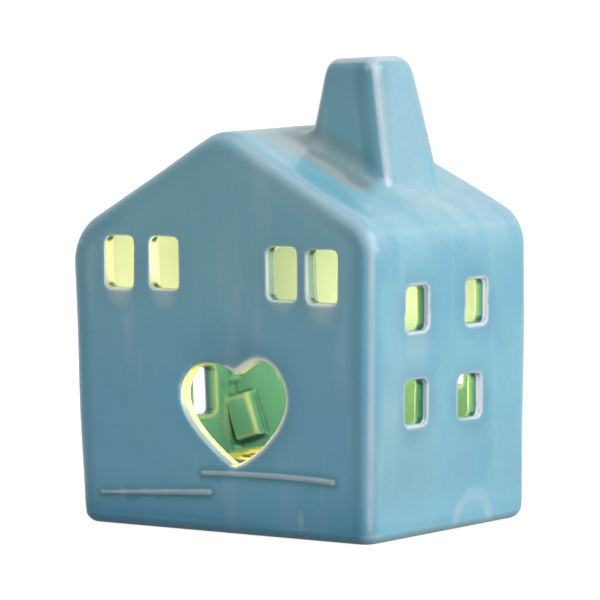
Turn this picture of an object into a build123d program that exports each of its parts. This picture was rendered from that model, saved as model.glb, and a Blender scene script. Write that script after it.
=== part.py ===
from build123d import *

import os

# A small glazed ceramic house that stands over a tealight candle.
# Lengths are millimetres. The origin is the middle of the base, +Z is up,
# -Y is the gable front with the heart, +X is the side that the chimney stands on.

# Ceramic shell, overall
house_depth = 62.5
base_width = 88.0
wall_lean = 2.0
left_eave_height = 70.0
right_eave_height = 71.8
ridge_height = 95.6
ridge_shift = 1.4
wall_thickness = 4.0
rear_wall_thickness = 6.0

# Ceramic shell, softened edges
corner_round = 4.0
left_eave_round = 13.5
right_eave_round = 10.5
ridge_round = 10.5
foot_chamfer = 2.6
inner_corner_chamfer = 1.8
inner_left_eave_round = 9.5
inner_right_eave_round = 6.5
inner_ridge_round = 6.5

# Small windows with rounded corners
front_window_width = 8.6
front_window_height = 12.2
side_window_width = 8.4
side_window_height = 10.2
left_window_height = 11.8
window_corner_round = 1.3

# Middles of the windows, as shares of the eave width or the depth, and of the lower eave's height
front_window_shares = ((-0.322, 0.897), (-0.172, 0.899), (0.212, 0.876), (0.338, 0.869))
right_window_shares = ((-0.224, 0.758), (0.147, 0.76), (-0.228, 0.449), (0.11, 0.446))
left_window_shares = ((-0.225, 0.7), (0.2, 0.705), (-0.215, 0.4), (0.217, 0.398))
rear_window_shares = ((-0.244, 0.52), (0.275, 0.518))

# Heart-shaped opening in the front
heart_width = 31.3
heart_height = 25.1
heart_shift = 4.25
heart_tip_height = 16.0
heart_chamfer = 0.6

# Heart outline, as shares of its half width and of its height above the tip
tip_shares = (-0.045, 0.0)
left_half_shares = ((-0.56, 0.225), (-1.0, 0.68), (-0.79, 0.895), (-0.49, 0.952))
notch_shares = (0.05, 0.853)
right_half_shares = ((0.25, 0.936), (0.525, 1.0), (0.87, 0.876), (1.0, 0.7), (0.655, 0.265))

# Chimney, a stack that rises past the ridge and flares down onto the right slope of the roof
chimney_rise = 14.8
chimney_top_width = 15.9
chimney_top_depth = 15.8
chimney_top_x = 22.2
chimney_top_y = -0.8
chimney_foot_width = 28.7
chimney_foot_depth = 27.6
chimney_foot_x = 18.15
chimney_foot_y = 5.65
chimney_wall = 4.2
chimney_corner_round = 3.8
chimney_lip_round = 3.0
flue_chamfer = 0.4
chimney_base_round = 3.5
flue_corner_round = 1.5

# Crooked raised block on the inside of the rear wall, with its middle in shares as for a window
block_width = 8.0
block_height = 11.0
block_rise = 3.6
block_lean = 16.0
block_round = 0.9
block_shares = ((-0.385, 0.304),)

# Tealight cup, drawn from thin aluminium
cup_diameter = 37.0
cup_height = 16.0
cup_wall = 0.3
cup_base_chamfer = 0.25
cup_rim_width = 0.5
cup_rim_height = 0.6

# Wax in the cup
wax_height = 15.3
wax_clearance = 0.05

# Tin tab that holds the wick upright, and the wick
tab_diameter = 12.0
tab_thickness = 0.3
tab_neck_diameter = 3.0
tab_neck_height = 3.0
tab_clearance = 0.1
wick_diameter = 1.6
wick_straight_height = 15.5
wick_bend_radius = 4.0
wick_bend = 35.0
wick_clearance = 0.05

# Every cut runs past the faces that it opens by this much
overrun = 1.0

half_depth = house_depth / 2
inner_front = wall_thickness - half_depth
inner_rear = half_depth - rear_wall_thickness
eave_width = base_width + 2 * wall_lean
half_width = max(base_width, eave_width) / 2
lower_eave_height = min(left_eave_height, right_eave_height)
cut_depth = wall_thickness + abs(wall_lean) + 2 * overrun
rear_cut_depth = rear_wall_thickness + 2 * overrun
chimney_height = ridge_height + chimney_rise
cup_radius = cup_diameter / 2


def moved_aside(start, end, distance):
    """The line from start to end, moved to its right-hand side by a distance."""
    along = (end - start).normalized()
    aside = Vector(along.Y, -along.X) * distance
    return start + aside, end + aside


def crossing(first, second):
    """The point where two lines meet, each given by two of its points."""
    first_run = first[1] - first[0]
    second_run = second[1] - second[0]
    apart = second[0] - first[0]
    turn = first_run.X * second_run.Y - first_run.Y * second_run.X
    return first[0] + first_run * ((apart.X * second_run.Y - apart.Y * second_run.X) / turn)


def gable_points(inset, bottom):
    """Corners of the gable outline from its left foot to its right foot, moved in by inset."""
    left_foot, right_foot = Vector(-base_width / 2, 0), Vector(base_width / 2, 0)
    left_eave = Vector(-eave_width / 2, left_eave_height)
    right_eave = Vector(eave_width / 2, right_eave_height)
    ridge = Vector(ridge_shift, ridge_height)
    ground = (Vector(-base_width, bottom), Vector(base_width, bottom))
    left_wall = moved_aside(left_foot, left_eave, inset)
    left_roof = moved_aside(left_eave, ridge, inset)
    right_roof = moved_aside(ridge, right_eave, inset)
    right_wall = moved_aside(right_eave, right_foot, inset)
    lines = (ground, left_wall, left_roof, right_roof, right_wall, ground)
    corners = [crossing(line, following) for line, following in zip(lines, lines[1:])]
    return [(corner.X, corner.Y) for corner in corners]


def wall_places(shares, width):
    """Places on a wall, from shares of the wall's width and of the lower eave's height."""
    return [(across * width, up * lower_eave_height) for across, up in shares]


def heart_points(*shares):
    """Points of the heart's outline on the front, from their pairs of shares."""
    half_heart = heart_width / 2
    return [
        (heart_shift + across * half_heart, heart_tip_height + up * heart_height)
        for across, up in shares
    ]


def stack_points(foot_middle, foot_size, top_middle, top_size):
    """Corners of one upright view of the chimney, which is drawn from the lower eave's level."""
    return [
        (foot_middle - foot_size / 2, lower_eave_height),
        (top_middle - top_size / 2, chimney_height),
        (top_middle + top_size / 2, chimney_height),
        (foot_middle + foot_size / 2, lower_eave_height),
    ]


def flared_stack(inset, edge_round):
    """The chimney's flared form, moved in by inset all round, with its slanted edges rounded.

    Its front view and its side view are each drawn out, and the form is what the two share.
    """
    less = 2 * inset
    front_view = stack_points(
        chimney_foot_x, chimney_foot_width - less, chimney_top_x, chimney_top_width - less
    )
    side_view = stack_points(
        chimney_foot_y, chimney_foot_depth - less, chimney_top_y, chimney_top_depth - less
    )
    with BuildPart() as flared:
        with BuildSketch(Plane.XZ):
            Polygon(*front_view, align=None)
        extrude(amount=half_depth, both=True)
        with BuildSketch(Plane.YZ):
            Polygon(*side_view, align=None)
        extrude(amount=eave_width, both=True, mode=Mode.INTERSECT)
        fillet(flared.edges().filter_by(Plane.XY, reverse=True), radius=edge_round)
    return flared.part


# Outside of the walls and roof: the gable outline drawn out to the depth of the house
with BuildPart() as body:
    with BuildSketch(Plane.XZ):
        with BuildLine():
            FilletPolyline(
                *gable_points(0, 0),
                radius=(0, left_eave_round, ridge_round, right_eave_round, 0),
                close=True,
            )
        make_face()
    extrude(amount=half_depth, both=True)
    gable_faces = body.faces().sort_by(Axis.Y)
    outline = gable_faces[0].edges() + gable_faces[-1].edges()
    fillet(outline - outline.group_by(Axis.Z)[0], radius=corner_round)
    chamfer(body.faces().sort_by(Axis.Z)[0].edges(), length=foot_chamfer)

# Room inside, open at the bottom, a wall's thickness in from the outside
with BuildPart() as room:
    with BuildSketch(Plane.XZ.offset(-inner_rear)):
        with BuildLine():
            FilletPolyline(
                *gable_points(wall_thickness, -overrun),
                radius=(0, inner_left_eave_round, inner_ridge_round, inner_right_eave_round, 0),
                close=True,
            )
        make_face()
    extrude(amount=inner_rear - inner_front)
    inner_faces = room.faces().sort_by(Axis.Y)
    inner_outline = inner_faces[0].edges() + inner_faces[-1].edges()
    chamfer(inner_outline - inner_outline.group_by(Axis.Z)[0], length=inner_corner_chamfer)

# Flue, the hollow of the chimney, which runs out past its top
with BuildPart() as flue:
    add(flared_stack(chimney_wall, flue_corner_round))
    extrude(flue.faces().sort_by(Axis.Z)[-1], amount=overrun)

# Crooked block that stands out from the inside of the rear wall
with BuildPart() as block:
    with BuildSketch(Plane.XZ.offset(-inner_rear - overrun)):
        with Locations(*wall_places(block_shares, eave_width)):
            Rectangle(block_width, block_height, rotation=block_lean)
    extrude(amount=block_rise + overrun)
    fillet(block.faces().sort_by(Axis.Y)[0].edges(), radius=block_round)

# The whole shell in one piece: body and chimney, hollowed, with its openings
with BuildPart() as house:
    add(body.part)
    add(flared_stack(0, chimney_corner_round))
    fillet(edges(Select.NEW), radius=chimney_base_round)
    fillet(house.faces().sort_by(Axis.Z)[-1].edges(), radius=chimney_lip_round)
    add(room.part, mode=Mode.SUBTRACT)
    add(flue.part, mode=Mode.SUBTRACT)
    chamfer(house.faces().sort_by(Axis.Z)[-1].inner_wires()[0].edges(), length=flue_chamfer)
    add(block.part)

    # Front: the heart, from its tip over the left lobe to the notch, and back over the right one
    front_plane = Plane.XZ.offset(half_depth + overrun)
    with BuildSketch(front_plane):
        with BuildLine():
            Spline(*heart_points(tip_shares, *left_half_shares, notch_shares))
            Spline(*heart_points(notch_shares, *right_half_shares, tip_shares))
        make_face()
    extrude(amount=-cut_depth, mode=Mode.SUBTRACT)
    heart_rim = house.faces().filter_by(GeomType.PLANE).sort_by(Axis.Y)[0].inner_wires()[0]
    chamfer(heart_rim.edges(), length=heart_chamfer)

    # Front: two pairs of windows under the eaves
    with BuildSketch(front_plane):
        with Locations(*wall_places(front_window_shares, eave_width)):
            RectangleRounded(front_window_width, front_window_height, window_corner_round)
    extrude(amount=-cut_depth, mode=Mode.SUBTRACT)

    # Right and left walls: two rows of two windows each
    with BuildSketch(Plane.YZ.offset(half_width + overrun)):
        with Locations(*wall_places(right_window_shares, house_depth)):
            RectangleRounded(side_window_width, side_window_height, window_corner_round)
    extrude(amount=-cut_depth, mode=Mode.SUBTRACT)
    with BuildSketch(Plane.YZ.offset(-half_width - overrun)):
        with Locations(*wall_places(left_window_shares, house_depth)):
            RectangleRounded(side_window_width, left_window_height, window_corner_round)
    extrude(amount=cut_depth, mode=Mode.SUBTRACT)

    # Rear wall: one row of two windows
    with BuildSketch(Plane.XZ.offset(-half_depth - overrun)):
        with Locations(*wall_places(rear_window_shares, eave_width)):
            RectangleRounded(side_window_width, side_window_height, window_corner_round)
    extrude(amount=rear_cut_depth, mode=Mode.SUBTRACT)

# Tealight cup, drawn from thin aluminium, with a rolled rim
with BuildPart() as tealight_cup:
    with BuildSketch():
        Circle(cup_radius)
    extrude(amount=cup_height)
    chamfer(tealight_cup.faces().sort_by(Axis.Z)[0].edges(), length=cup_base_chamfer)
    with BuildSketch(Plane.XY.offset(cup_height - cup_rim_height)):
        Circle(cup_radius + cup_rim_width)
    extrude(amount=cup_rim_height)
    with BuildSketch(Plane.XY.offset(cup_wall)):
        Circle(cup_radius - cup_wall)
    extrude(amount=cup_height, mode=Mode.SUBTRACT)

# Wax, poured into the cup round the wick and its tab
with BuildPart() as wax:
    with BuildSketch(Plane.XY.offset(cup_wall)):
        Circle(cup_radius - cup_wall - wax_clearance)
    extrude(amount=wax_height - cup_wall)
    with BuildSketch():
        Circle(wick_diameter / 2 + wick_clearance)
    extrude(amount=wax_height, mode=Mode.SUBTRACT)
    with BuildSketch():
        Circle(tab_neck_diameter / 2 + tab_clearance)
    extrude(amount=cup_wall + tab_neck_height + tab_clearance, mode=Mode.SUBTRACT)
    with BuildSketch():
        Circle(tab_diameter / 2 + tab_clearance)
    extrude(amount=cup_wall + tab_thickness + tab_clearance, mode=Mode.SUBTRACT)

# Tin tab on the floor of the cup: a disc with a neck that is crimped round the wick
with BuildPart() as wick_tab:
    with BuildSketch(Plane.XY.offset(cup_wall)):
        Circle(tab_diameter / 2)
    extrude(amount=tab_thickness)
    with BuildSketch(Plane.XY.offset(cup_wall)):
        Circle(tab_neck_diameter / 2)
    extrude(amount=tab_neck_height)
    with BuildSketch(Plane.XY.offset(cup_wall)):
        Circle(wick_diameter / 2 + wick_clearance)
    extrude(amount=tab_neck_height, mode=Mode.SUBTRACT)

# Cotton wick, upright in the wax and bent over at its burnt end
with BuildPart() as wick:
    with BuildLine(Plane.XZ):
        upright = Line((0, cup_wall), (0, wick_straight_height))
        JernArc(upright @ 1, upright % 1, radius=wick_bend_radius, arc_size=-wick_bend)
    with BuildSketch(Plane.XY.offset(cup_wall)):
        Circle(wick_diameter / 2)
    sweep()

os.makedirs("parts", exist_ok=True)

house.part.label = "house_shell"
export_step(house.part, "parts/house_shell.step")
tealight_cup.part.label = "tealight_cup"
export_step(tealight_cup.part, "parts/tealight_cup.step")
wax.part.label = "wax"
export_step(wax.part, "parts/wax.step")
wick_tab.part.label = "wick_tab"
export_step(wick_tab.part, "parts/wick_tab.step")
wick.part.label = "wick"
export_step(wick.part, "parts/wick.step")
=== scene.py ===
"""Dresses the tealight house: its blue glaze, the candle inside it and the studio round it."""

import logging
import math
from dataclasses import dataclass, field
from enum import Enum
from functools import cached_property

import bmesh
import bpy
import numpy as np
from mathutils import Matrix, Vector


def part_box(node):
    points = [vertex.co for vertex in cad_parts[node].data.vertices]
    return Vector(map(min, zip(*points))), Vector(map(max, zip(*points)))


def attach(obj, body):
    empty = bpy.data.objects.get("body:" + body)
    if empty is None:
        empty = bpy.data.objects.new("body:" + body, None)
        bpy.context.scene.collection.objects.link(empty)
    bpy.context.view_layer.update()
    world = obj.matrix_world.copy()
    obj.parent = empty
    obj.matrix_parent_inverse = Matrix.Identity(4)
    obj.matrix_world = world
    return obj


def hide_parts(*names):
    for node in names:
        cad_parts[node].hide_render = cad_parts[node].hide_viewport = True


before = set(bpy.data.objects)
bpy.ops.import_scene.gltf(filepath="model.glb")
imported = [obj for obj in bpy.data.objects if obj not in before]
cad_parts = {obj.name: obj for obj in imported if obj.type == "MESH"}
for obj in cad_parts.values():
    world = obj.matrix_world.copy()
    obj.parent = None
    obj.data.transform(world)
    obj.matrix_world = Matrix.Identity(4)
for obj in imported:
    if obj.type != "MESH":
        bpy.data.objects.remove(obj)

MM = 0.001

Colour = tuple[float, float, float]
Point2 = tuple[float, float]
Point3 = tuple[float, float, float]
Span = tuple[float, float]
Band = tuple[float, float, float, float]
Socket = bpy.types.NodeSocket

WHITE = (1.0, 1.0, 1.0)
EVEN = (1.0, 1.0, 1.0)
TOUCHING = 0.001 * MM

log = logging.getLogger("tealight_house")


class Body(Enum):
    """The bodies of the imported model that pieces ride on."""

    HOUSE = "house"
    CANDLE = "candle"


class Mark(Enum):
    """The attributes that the shell's surface carries for its glaze."""

    EDGE = "edge"
    LINE = "line"
    HOLLOW = "hollow"
    HALO = "halo"
    DEPTH = "depth"


def from_screen(red: int, green: int, blue: int) -> Colour:
    """Turns a colour as a screen shows it, each share 0 to 255, into a shader's linear one."""
    shares = (value / 255 for value in (red, green, blue))
    return tuple(s / 12.92 if s <= 0.04045 else ((s + 0.055) / 1.055) ** 2.4 for s in shares)


def placed(name: str, data: bpy.types.ID) -> bpy.types.Object:
    """Puts data in the scene.

    Args:
        name: The new object's name.
        data: Its mesh, light or camera.

    Returns:
        The new object.
    """
    made = bpy.data.objects.new(name, data)
    bpy.context.scene.collection.objects.link(made)
    return made


def finished(name: str, form: bmesh.types.BMesh) -> bpy.types.Object:
    """Puts a finished form in the scene.

    Args:
        name: The new object's name.
        form: The form, which is freed.

    Returns:
        The new object, shaded smooth.
    """
    mesh = bpy.data.meshes.new(name)
    form.to_mesh(mesh)
    form.free()
    mesh.shade_smooth()
    return placed(name, mesh)


class Nodes:
    """A node tree, with a short call for each kind of node."""

    def __init__(self, tree: bpy.types.NodeTree) -> None:
        """Starts work on a tree."""
        self.tree = tree

    def add(self, kind: str, **settings: object) -> bpy.types.Node:
        """Adds a node.

        Args:
            kind: The node's type.
            settings: Properties to set on it.

        Returns:
            The new node.
        """
        node = self.tree.nodes.new(kind)
        for key, value in settings.items():
            setattr(node, key, value)
        return node

    def feed(self, socket: Socket, value: object) -> None:
        """Links a socket to another one, or sets its value.

        Args:
            socket: The input to fill.
            value: An output socket, a number or a colour.
        """
        if isinstance(value, bpy.types.NodeSocket):
            self.tree.links.new(value, socket)
        elif isinstance(value, tuple) and socket.type == "RGBA":
            socket.default_value = (*value, 1.0)
        else:
            socket.default_value = value

    def sum(self, operation: str, *values: object) -> Socket:
        """Works out a sum on one, two or three values.

        Args:
            operation: The name of the operation, such as ADD.
            values: Sockets or numbers.

        Returns:
            The result.
        """
        node = self.add("ShaderNodeMath", operation=operation)
        for socket, value in zip(node.inputs, values):
            self.feed(socket, value)
        return node.outputs["Value"]

    def product(self, first: object, *others: object) -> object:
        """Multiplies sockets and numbers.

        Args:
            first: The first factor.
            others: The other factors.

        Returns:
            The product.
        """
        for other in others:
            first = self.sum("MULTIPLY", first, other)
        return first

    def shown(self, mirrored: object = 1.0) -> Socket:
        """Finds the rays that show this to the eye: straight, mirrored or through glass.

        Args:
            mirrored: The share by which mirrors show it.

        Returns:
            A share of 1 on such rays and 0 on those that only light things.
        """
        ray = self.add("ShaderNodeLightPath").outputs
        glossy = self.product(ray["Is Glossy Ray"], mirrored)
        direct = self.sum("MAXIMUM", ray["Is Camera Ray"], glossy)
        return self.sum("MAXIMUM", direct, ray["Is Transmission Ray"])


class Recipe(Nodes):
    """A material's node tree. Lengths are millimetres."""

    def __init__(self, name: str) -> None:
        """Starts an empty material with a principled shader.

        Args:
            name: The material's name.
        """
        self.material = bpy.data.materials.new(name)
        self.material.use_nodes = True
        super().__init__(self.material.node_tree)
        self.shader = self.tree.nodes["Principled BSDF"]

    def set(self, **inputs: object) -> None:
        """Fills inputs of the shader, with underscores for the spaces in their names."""
        for key, value in inputs.items():
            self.feed(self.shader.inputs[key.replace("_", " ")], value)

    @cached_property
    def place(self) -> Socket:
        """The object coordinates, in metres."""
        return self.add("ShaderNodeTexCoord").outputs["Object"]

    @cached_property
    def scaled_place(self) -> Socket:
        """The object coordinates, in millimetres."""
        return self.vector("SCALE", self.place, Scale=1 / MM).outputs["Vector"]

    @cached_property
    def axes(self) -> bpy.types.NodeOutputs:
        """The object coordinates one by one, in millimetres."""
        split = self.add("ShaderNodeSeparateXYZ")
        self.feed(split.inputs["Vector"], self.scaled_place)
        return split.outputs

    def vector(self, operation: str, first: Socket, **inputs: object) -> bpy.types.Node:
        """Adds a sum on vectors.

        Args:
            operation: The name of the operation.
            first: The first vector.
            inputs: Other inputs by name.

        Returns:
            The node.
        """
        node = self.add("ShaderNodeVectorMath", operation=operation)
        self.feed(node.inputs[0], first)
        for key, value in inputs.items():
            self.feed(node.inputs[key], value)
        return node

    def mark(self, mark: Mark) -> Socket:
        """The value of one of the surface's attributes."""
        return self.add("ShaderNodeAttribute", attribute_name=mark.value).outputs["Fac"]

    def noise(
        self, size: float, detail: float = 3.0, roughness: float = 0.55, stretch: Point3 = EVEN
    ) -> Socket:
        """Cloudy noise.

        Args:
            size: The size of its clouds.
            detail: How many finer layers it has.
            roughness: How strong the finer layers are.
            stretch: A scale for each axis, below 1 where the clouds are drawn out.

        Returns:
            The noise, about 0.5.
        """
        mapping = self.add("ShaderNodeMapping")
        self.feed(mapping.inputs["Vector"], self.place)
        mapping.inputs["Scale"].default_value = stretch
        node = self.add("ShaderNodeTexNoise")
        self.feed(node.inputs["Vector"], mapping.outputs["Vector"])
        node.inputs["Scale"].default_value = 1 / (size * MM)
        node.inputs["Detail"].default_value = detail
        node.inputs["Roughness"].default_value = roughness
        return node.outputs["Fac"]

    def span(
        self, value: Socket, low: float, high: float, to_low: float = 0.0, to_high: float = 1.0
    ) -> Socket:
        """Maps a span of values smoothly onto another, and holds it at the ends.

        Args:
            value: The value to map.
            low: The value that gives to_low.
            high: The value that gives to_high.
            to_low: The result at low.
            to_high: The result at high.

        Returns:
            The mapped value.
        """
        node = self.add("ShaderNodeMapRange", interpolation_type="SMOOTHSTEP")
        self.feed(node.inputs["Value"], value)
        ends = {"From Min": low, "From Max": high, "To Min": to_low, "To Max": to_high}
        for name, end in ends.items():
            node.inputs[name].default_value = end
        return node.outputs["Result"]

    def along(self, axis: str, *ends: float) -> Socket:
        """Maps a span of X, Y or Z, as span does with the same ends."""
        return self.span(self.axes[axis], *ends)

    def away(self, middle: Point3, scale: Point3 = EVEN) -> Socket:
        """The distance from a place, with a scale for each axis.

        Args:
            middle: The place.
            scale: How much each axis counts.

        Returns:
            The distance.
        """
        drawn_out = self.vector("MULTIPLY", self.scaled_place)
        drawn_out.inputs[1].default_value = scale
        distance = self.vector("DISTANCE", drawn_out.outputs["Vector"])
        distance.inputs[1].default_value = [value * part for value, part in zip(middle, scale)]
        return distance.outputs["Value"]

    def blend(self, share: object, first: object, second: object) -> Socket:
        """Mixes two colours.

        Args:
            share: How much of the second colour shows.
            first: The first colour or socket.
            second: The second colour or socket.

        Returns:
            The mixed colour.
        """
        node = self.add("ShaderNodeMix", data_type="RGBA")
        colours = [socket for socket in node.inputs if socket.type == "RGBA"]
        self.feed(node.inputs["Factor"], share)
        self.feed(colours[0], first)
        self.feed(colours[1], second)
        return next(socket for socket in node.outputs if socket.type == "RGBA")

    def tint(self, colour: Socket, second: object, *shares: object) -> Socket:
        """Lays a second colour over one, by the product of the shares."""
        return self.blend(self.product(*shares), colour, second)

    def bump(self, height: Socket, depth: float, strength: float) -> None:
        """Gives the shader a fine relief.

        Args:
            height: The relief, about 0 to 1.
            depth: How deep it is.
            strength: How much of it shows.
        """
        node = self.add("ShaderNodeBump")
        self.feed(node.inputs["Height"], height)
        node.inputs["Distance"].default_value = depth * MM
        node.inputs["Strength"].default_value = strength
        self.feed(self.shader.inputs["Normal"], node.outputs["Normal"])


def climb(values: np.ndarray, start: float | np.ndarray, width: float) -> np.ndarray:
    """A share that rises evenly from 0 at start to 1 at start + width, which may be below it."""
    return np.clip((values - start) / width, 0.0, 1.0)


def ramp(values: np.ndarray, start: float | np.ndarray, width: float) -> np.ndarray:
    """The share that climb gives, smoothed at both of its ends."""
    held = climb(values, start, width)
    return held * held * (3.0 - 2.0 * held)


def band(values: np.ndarray, low: float, high: float, rise: float, fall: float) -> np.ndarray:
    """A share that rises from 0 at low, within rise, and falls to 0 at high, within fall."""
    return ramp(values, low, rise) * ramp(values, high, -fall)


def bell(values: np.ndarray, middle: float, spread: float) -> np.ndarray:
    """A share of 1 at middle that fades away on both of its sides."""
    return np.exp(-(((values - middle) / spread) ** 2))


@dataclass(frozen=True)
class GroundLine:
    """A raised line drawn in the clay on the front, in millimetres."""

    start: Point2
    end: Point2
    sag: float
    start_width: float
    end_width: float
    slant: float = 0.7

    @property
    def run(self) -> float:
        """How far the line runs across."""
        return self.end[0] - self.start[0]

    @property
    def climb(self) -> float:
        """How far the line rises."""
        return self.end[1] - self.start[1]

    @property
    def widening(self) -> float:
        """How much wider the line is at its end."""
        return self.end_width - self.start_width

    def cover(self, across: np.ndarray, up: np.ndarray) -> np.ndarray:
        """How much the line covers points on the front.

        Args:
            across: The points' places across.
            up: The points' heights.

        Returns:
            A share from 0 off the line to 1 on it.
        """
        along = (across - self.start[0]) / self.run
        held = np.clip(along, 0.0, 1.0)
        height = self.start[1] + self.climb * held + self.sag * 4.0 * held * (1.0 - held)
        past = (along - held) * self.run
        half = (self.start_width + self.widening * held) / 2
        return ramp(np.hypot(up - height, past), half + self.slant / 2, -self.slant)

    def gap(self, recipe: Recipe) -> Socket:
        """Works out how far a place on the front lies from the line's edge, for a shader.

        Args:
            recipe: The material in the making.

        Returns:
            The distance, below zero on the line.
        """
        back = -self.start[0] / self.run
        along = recipe.sum("MULTIPLY_ADD", recipe.axes["X"], 1 / self.run, back)
        held = recipe.sum("MINIMUM", recipe.sum("MAXIMUM", along, 0.0), 1.0)
        height = recipe.sum("MULTIPLY_ADD", held, self.climb, self.start[1])
        arch = recipe.product(held, recipe.sum("SUBTRACT", 1.0, held))
        height = recipe.sum("MULTIPLY_ADD", arch, 4.0 * self.sag, height)
        past = recipe.product(recipe.sum("SUBTRACT", along, held), self.run)
        off = recipe.sum("SUBTRACT", recipe.axes["Z"], height)
        square = recipe.sum("MULTIPLY_ADD", past, past, recipe.product(off, off))
        half = recipe.sum("MULTIPLY_ADD", held, self.widening / 2, self.start_width / 2)
        return recipe.sum("SUBTRACT", recipe.sum("SQRT", square), half)


@dataclass(frozen=True)
class Spot:
    """A soft spot of another colour in the glaze, in millimetres."""

    colour: Colour
    share: float
    middle: Point3
    inner: float
    outer: float
    scale: Point3 = EVEN

    def laid(self, recipe: Recipe, colour: Socket) -> Socket:
        """Lays the spot over a colour."""
        cover = recipe.span(recipe.away(self.middle, self.scale), self.outer, self.inner)
        return recipe.tint(colour, self.colour, cover, self.share)


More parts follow.
